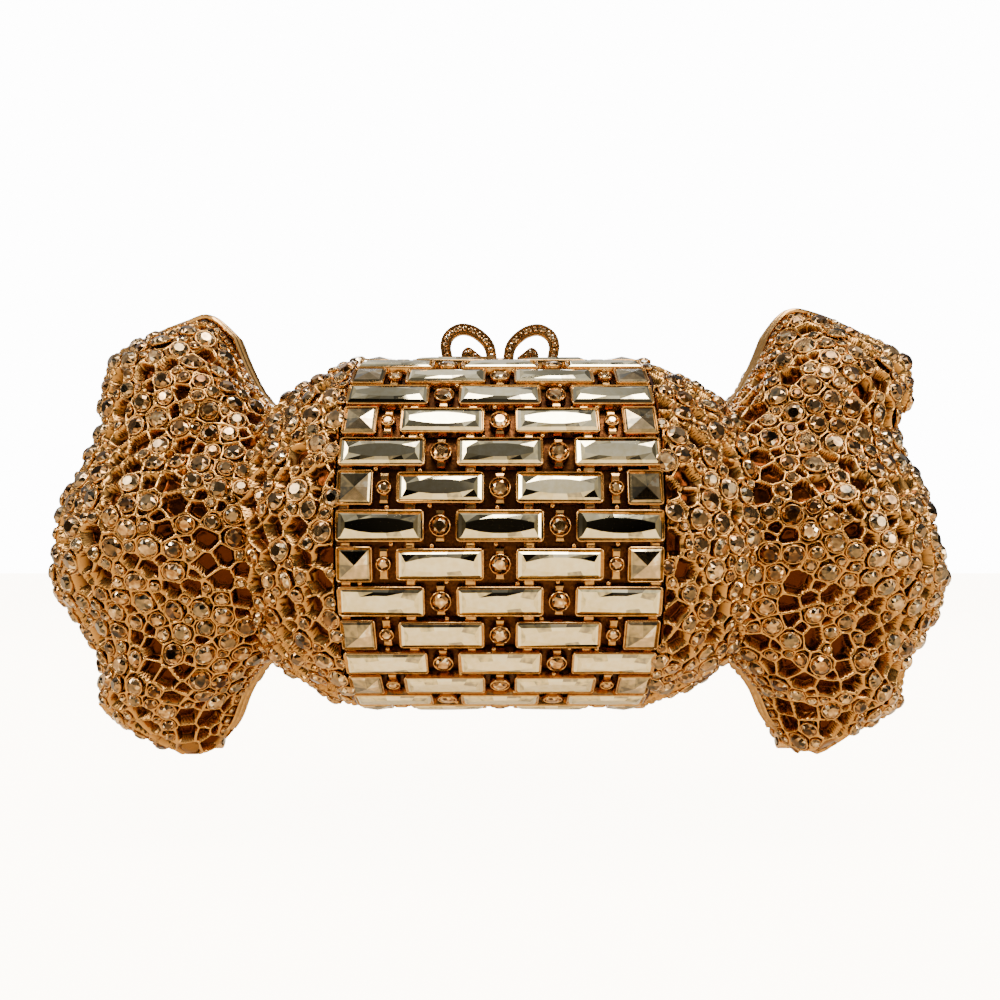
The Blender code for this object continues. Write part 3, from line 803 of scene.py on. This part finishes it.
def closed_mesh(name, vertices, faces, finish, crease=40):
    """A closed mesh of the bag's own, in its place, facing outwards."""
    obj = mesh_object(name, vertices, faces, smooth=True)
    work = bmesh.new()
    work.from_mesh(obj.data)
    bmesh.ops.recalc_face_normals(work, faces=work.faces)
    work.to_mesh(obj.data)
    work.free()
    obj.data.set_sharp_from_angle(angle=math.radians(crease))
    obj.data.materials.append(finish)
    return put(obj)


def evenly(points, step, closed=False):
    """Places at even steps, in millimetres, along a line of (x, z)."""
    if closed:
        points = np.vstack([points, points[:1]])
    lengths = np.concatenate([[0], np.cumsum(np.linalg.norm(np.diff(points, axis=0), axis=1))])
    at = np.linspace(0, lengths[-1], int(lengths[-1] / (step * MM)), endpoint=not closed)
    return np.stack([np.interp(at, lengths, points[:, k]) for k in (0, 1)], 1)


def headings(path, closed=False):
    """The direction of a line of (x, z) at each of its places."""
    ahead = np.roll(path, -1, 0) - np.roll(path, 1, 0) if closed else np.gradient(path, axis=0)
    return ahead / np.linalg.norm(ahead, axis=1, keepdims=True)


def left_of(ahead):
    return np.stack([-ahead[:, 1], ahead[:, 0]], 1)


def cord_rings(path, across, radius, y):
    """Rings of a round cord along a path of (x, z), at a depth y in metres."""
    return [[(x + in_x * out, y + deep, z + in_z * out) for out, deep, _ in circle(radius * MM, 0, 8)]
            for (x, z), (in_x, in_z) in zip(path, across)]


def rim_beads(name, surface, half):
    """Round polished beads along the shell's edge, from both sides of the foot."""
    outline = np.vstack([surface[2::3, -1], surface[-1, ::-4], surface[::-3, 0]])[:, [0, 2]]
    vertices, faces = [], []
    above = outline[:, 1] > EDGE_FOOT * MM
    for run in np.split(outline, np.flatnonzero(np.diff(above.astype(int))) + 1):
        if run[0, 1] <= EDGE_FOOT * MM or len(run) < 8:
            continue
        path = evenly(run, 1.1)
        inwards = left_of(headings(path))
        if np.sum(inwards * (outline.mean(axis=0) - path)) < 0:
            inwards = -inwards
        for radius, from_seam, inside in RIM_BEADS:
            rings = cord_rings(path + inwards * inside * MM, inwards, radius, half * from_seam * MM)
            more, sides = solid_of(rings, len(vertices))
            vertices, faces = vertices + more, faces + sides
    return closed_mesh(name, vertices, faces, polished_lip)


# the deep colour is painted shade, which the web's attribute lays on in its pits and round its stones
web_gold = gold_material("cast_rose_gold_web", "#C9924C", "#4A2006", 0.2, 0.8, 0.08, "pit")
lips = collection_of("lips", [lip_shape()])
chatons = collection_of("chatons", [round_cut("chaton_%d" % k, 20 + k) for k in range(6)])


def build_wrapper(half_name, half, side_name, side, seed):
    name = "%s_%s_wrapper" % (half_name, side_name)
    surface = wrapper_surface(side, half)
    normals = surface_normals(surface, side, half)
    edge = [(Vector(surface[spot]), Vector(normals[spot]), EDGE_CELL) for spot in edge_row(surface)]
    cells = throw_cells(surface, normals, edge, seed)
    rng = np.random.default_rng(seed + 100)
    has_stone = [rng.random() < STONE_SHARE and cell[2] > LEAST_STONE or number < len(edge)
                 for number, cell in enumerate(cells)]
    relief, pits = web_relief(surface, cells, has_stone)
    web = web_mesh(name + "_web", surface, normals, relief, pits, side, half)
    web.data.materials.append(web_gold)
    attach(web, half_name, name)
    lip_spots, stone_spots = [], []
    for (place, out, radius), kept in zip(cells, has_stone):
        drop = (radius * math.sqrt(max(1 - out.z ** 2, 0)) + 0.5) * MM
        if not kept or place.z < drop:
            continue           # an open cell, or a stone that would reach below the feet
        lean = Vector(rng.normal(0, 0.15, 3).tolist())
        out = (out + lean).normalized()
        turn = out.to_track_quat("Z", "Y").to_matrix() @ Matrix.Rotation(rng.uniform(0, 6), 3, "Z")
        place = place + out * rng.uniform(0.0, 0.25) * MM
        lip_spots.append((place, turn, (radius * 1.02, radius * 1.02, 1.0), 0, 0.0))
        tone = rng.uniform(0.8, 1.0)
        stone_spots.append((place, turn, (0.9 * radius,) * 3, int(rng.integers(6)), tone))
    attach(place_shapes(name + "_lips", lip_spots, lips, polished_lip), half_name)
    attach(place_shapes(name + "_stones", stone_spots, chatons, crystal), half_name)
    attach(rim_beads(name + "_rim_beads", surface, half), half_name)


for half_name, half in HALVES.items():
    for side_name, side in SIDES.items():
        build_wrapper(half_name, half, side_name, side, 40 + 7 * half + 3 * side)

# ------------------------------------ frames, hinges and pins
# Rolled and ground rails, brackets and drawn pins, polished before plating.

rail_gold = gold_material("polished_rose_gold_rail", "#E2B272", "#B8803F", 0.3, 1.0, 0.05)
pin_steel = gold_material("drawn_steel_pin", "#B9B6B0", "#8F8C88", 0.3, 0.4, 0.01)
for node_name in frame["nodes"]:
    if node_name.endswith(("_frame", "_hinge", "_clasp_base")):
        plate(node_name, rail_gold)
    if node_name.endswith("_pin"):
        plate(node_name, pin_steel)

# ------------------------------------ clasp ears
# Each ear is a flat cast ribbon bent into a loop, with a raised edge on both faces and a line
# of tiny chatons between the edges. A curl of the same ribbon stands inside the loop.

EAR_POINTS = np.array([(12.0, 40.0), (12.5, 43.2), (11.6, 45.6), (9.2, 47.0), (6.4, 46.6),
                       (3.9, 44.9), (2.4, 42.8), (1.9, 40.0)])
CURL_POINTS = np.array([(8.0, 39.7), (8.0, 41.1), (7.3, 41.9), (6.4, 41.3), (5.4, 40.5), (4.4, 39.8)])
EAR_PLANE = 0.2            # from the seam plane
BAND_DEPTH = 0.95          # half of the ribbon's thickness
# of each ribbon: its line, half of its width, its stones' radius and how many
RIBBONS = [(EAR_POINTS, 1.2, 0.68, 17), (CURL_POINTS, 0.85, 0.5, 5)]
GROOVED_FACE = [(-1, 0.75), (-0.85, 1), (-0.6, 1), (-0.5, 0.72), (0.5, 0.72), (0.6, 1), (0.85, 1),
                (1, 0.75)]
RIBBON_SECTION = [(-1, -0.75)] + GROOVED_FACE + [(a, -b) for a, b in GROOVED_FACE[:0:-1]]

for half_name, half in HALVES.items():
    plane = half * EAR_PLANE
    vertices, faces, spots = [], [], []
    rng = np.random.default_rng(90 + half)
    for points, band, stone_radius, stone_count in RIBBONS:
        path = rim_curve(points, np.linspace(-1, 1, 48))
        rings = [[(half * (p[0] + n[0] * a * band) * MM, (b * BAND_DEPTH + plane) * MM,
                   (p[1] + n[1] * a * band) * MM + BAG_MIDDLE.z) for a, b in RIBBON_SECTION]
                 for p, n in zip(path, left_of(headings(path)))]
        more, sides = solid_of(rings, len(vertices))
        vertices, faces = vertices + more, faces + sides
        for k in np.linspace(2, 45, stone_count).astype(int):
            for face in (-1, 1):
                spot = Vector((half * path[k][0], plane + face * BAND_DEPTH * 0.8, path[k][1])) * MM
                turn = Vector((0, face, 0)).to_track_quat("Z", "Y").to_matrix()
                spots.append((spot + BAG_MIDDLE, turn @ Matrix.Rotation(rng.uniform(0, 6), 3, "Z"),
                              (stone_radius,) * 3, ROUND, rng.uniform(0.85, 1.0)))
    attach(closed_mesh(half_name + "_clasp_ear_ribbon", vertices, faces, polished_lip, crease=50),
           half_name, half_name + "_clasp_ear")
    attach(place_shapes(half_name + "_clasp_ear_stones", spots, stone_cuts, crystal),
           half_name)

# ------------------------------------ lining and end panels
# Gold leatherette glued over board, with a fine pressed grain. A piped edge closes the lining,
# and a line of stitches runs beside every edge.

leatherette, tree = new_material("gold_leatherette")
place = add_node(tree, "ShaderNodeTexCoord").outputs["Object"]
pebbles = add_node(tree, "ShaderNodeTexVoronoi", {"Vector": place, "Scale": 1 / (0.7 * MM)})
colour = ramp(tree, pebbles.outputs["Distance"], [(0.0, "#C9A56A"), (0.6, "#8E6A3A")])
bump = add_node(tree, "ShaderNodeBump", {"Height": pebbles.outputs["Distance"], "Strength": 0.4,
                                         "Distance": 0.08 * MM}, invert=True)
shader = add_node(tree, "ShaderNodeBsdfPrincipled",
                  {"Base Color": colour, "Metallic": 0.5, "Roughness": 0.5,
                   "Normal": bump.outputs["Normal"]})
finish_material(tree, shader)
thread = gold_material("waxed_sewing_thread", "#D9BC84", "#8C6A38", 0.6, 0.5, 0.1)
thread.node_tree.nodes["Principled BSDF"].inputs["Metallic"].default_value = 0.0

LINING_REACH = 47.0
LINING_SECTIONS = [(0, 34.6, 31.6), (31, 34.6, 31.6), (40, 30, 27), (47, 25, 21)]
LINING_WALL = 1.1
PIPING_RADIUS = 0.8
STITCH_STEP = 2.4
STITCH_INSET = 1.8
STITCH_LEAN = 0.18         # the lining's stitches lean towards the mouth
# the board's rounded section: how far inside its outline and how deep from the seam
BOARD_SECTION = [(0.3, 1.2), (0, 0.9), (0, 0.35), (0.25, 0.1), (0.6, 0.0)]
END_SHARES = np.array([0.03, 0.3, 0.6, 0.85])      # the rings that close the lining's ends


def lining_skin(half, wall):
    """Points of the lining, drawn in by wall: rows along it, columns from the bottom up."""
    reach, tall, deep = np.array(LINING_SECTIONS).T
    x = np.linspace(-LINING_REACH, LINING_REACH, 96)
    folds = np.ones(5) / 5
    sizes = []
    for size in (tall, deep):
        size = np.pad(np.interp(np.abs(x), reach, size), 2, "edge")
        size = np.convolve(size, folds, "valid") - wall
        sizes.append(np.concatenate([END_SHARES * size[0], size, END_SHARES[::-1] * size[-1]]))
    tall, deep = sizes
    x = np.pad(x * (1 - wall / LINING_REACH), len(END_SHARES), "edge")
    angle = np.linspace(-math.pi / 2, math.pi / 2, 49)
    depth = np.maximum(deep[:, None] * np.cos(angle), SEAM)
    skin = np.stack([np.repeat(x[:, None], 49, 1), half * depth, tall[:, None] * np.sin(angle)], 2)
    return skin * MM + np.array(BAG_MIDDLE)


def two_skins(outer, inner):
    """Vertices and faces of a wall between two skins of the same grid."""
    rows, columns = outer.shape[:2]
    shift = rows * columns
    index = np.arange(shift).reshape(rows, columns)
    quads = grid_faces(index)
    edge = np.concatenate([index[0, :-1], index[:-1, -1], index[-1, :0:-1], index[:0:-1, 0]])
    after = np.roll(edge, -1)
    sides = np.stack([edge, after, after + shift, edge + shift], -1)
    faces = np.concatenate([quads, quads[:, ::-1] + shift, sides])
    return np.concatenate([outer.reshape(-1, 3), inner.reshape(-1, 3)]), faces.tolist()


def drawn_in(loop, distance):
    """A closed loop moved inwards by a distance in millimetres."""
    area = np.sum(loop[:, 0] * np.roll(loop[:, 1], -1) - np.roll(loop[:, 0], -1) * loop[:, 1])
    return loop + left_of(headings(loop, closed=True)) * np.sign(area) * distance * MM


def seam_face_outline(node, half):
    """The outline of a board's face on the seam, in order, as (x, z)."""
    work = bmesh.new()
    work.from_mesh(node.data)
    bmesh.ops.remove_doubles(work, verts=work.verts, dist=0.00001)
    edges = [edge for edge in work.edges
             if sum(face.normal.y * half < -0.9 for face in edge.link_faces) == 1]
    links = {}
    for edge in edges:
        for one, other in (edge.verts, reversed(edge.verts)):
            links.setdefault(one.index, []).append(other.index)
    work.verts.ensure_lookup_table()
    order = [edges[0].verts[0].index]
    while len(order) < len(links):
        order.append(next(k for k in links[order[-1]] if k not in order[-2:]))
    loop = np.array([(work.verts[k].co.x, work.verts[k].co.z) for k in order])
    work.free()
    return loop


def stitch_shape():
    """One stitch: a short thread, round on top and sunk at both ends."""
    line = ((-0.85, 0.3, 0.2), (-0.6, 0.9, 0.02), (0, 1, 0), (0.6, 0.9, 0.02), (0.85, 0.3, 0.2))
    rings = [[(x, y, z - sink) for y, z, _ in circle(0.24 * width, 0, 6)] for x, width, sink in line]
    return mesh_object("stitch", *solid_of(rings), smooth=True)


stitches = collection_of("stitches", [stitch_shape()])

for half_name, half in HALVES.items():
    outer, inner = lining_skin(half, 0.0), lining_skin(half, LINING_WALL)
    attach(closed_mesh(half_name + "_lining_cover", *two_skins(outer, inner), leatherette),
           half_name, half_name + "_lining")
    mouth = inner[4:-4]
    mouth_loop = np.vstack([mouth[:, -1][:, [0, 2]], mouth[::-1, 0][:, [0, 2]]])
    mouth_loop = evenly(drawn_in(mouth_loop, PIPING_RADIUS * 0.6), 1.5, closed=True)
    rings = cord_rings(mouth_loop, left_of(headings(mouth_loop, closed=True)), PIPING_RADIUS,
                       half * (SEAM + PIPING_RADIUS + 0.1) * MM)
    piping = closed_mesh(half_name + "_lining_piping", [point for ring in rings for point in ring],
                         between_rings(len(rings), 8, joined=True), leatherette)
    attach(piping, half_name)
    spots = []
    for column, up in ((-4, -1), (3, 1)):
        line = inner[8:-8, column]
        turn = facing(Vector((0, -half * STITCH_LEAN, up)).normalized(), ALONG_BAG)
        for x in np.arange(line[0, 0], line[-1, 0], STITCH_STEP * MM):
            y, z = (np.interp(x, line[:, 0], line[:, k]) for k in (1, 2))
            spots.append((Vector((x, y, z)), turn, (1, 1, 1), 0, 0.0))
    for side_name in SIDES:
        node_name = "%s_%s_end_panel" % (half_name, side_name)
        loop = seam_face_outline(frame["nodes"][node_name], half)
        even_loop = evenly(loop, 1.2, closed=True)
        rings = [[(x, half * (SEAM + depth) * MM, z) for x, z in drawn_in(even_loop, inward)]
                 for inward, depth in BOARD_SECTION]
        attach(closed_mesh(node_name + "_board", *solid_of(rings), leatherette),
               half_name, node_name)
        seam_line = evenly(drawn_in(loop, STITCH_INSET), STITCH_STEP, closed=True)
        for (x, z), (way_x, way_z) in zip(seam_line, headings(seam_line, closed=True)):
            turn = facing(Vector((0, -half, 0)), Vector((way_x, 0, way_z)))
            spots.append((Vector((x, half * (SEAM - 0.05) * MM, z)), turn, (1, 1, 1), 0, 0.0))
    attach(place_shapes(half_name + "_lining_stitches", spots, stitches, thread),
           half_name)

# ------------------------------------ removing the template shapes
for group in (stone_cuts, cup_shapes, lips, chatons, stitches):
    for obj in list(group.objects):
        bpy.data.objects.remove(obj, do_unlink=True)
    bpy.data.collections.remove(group)
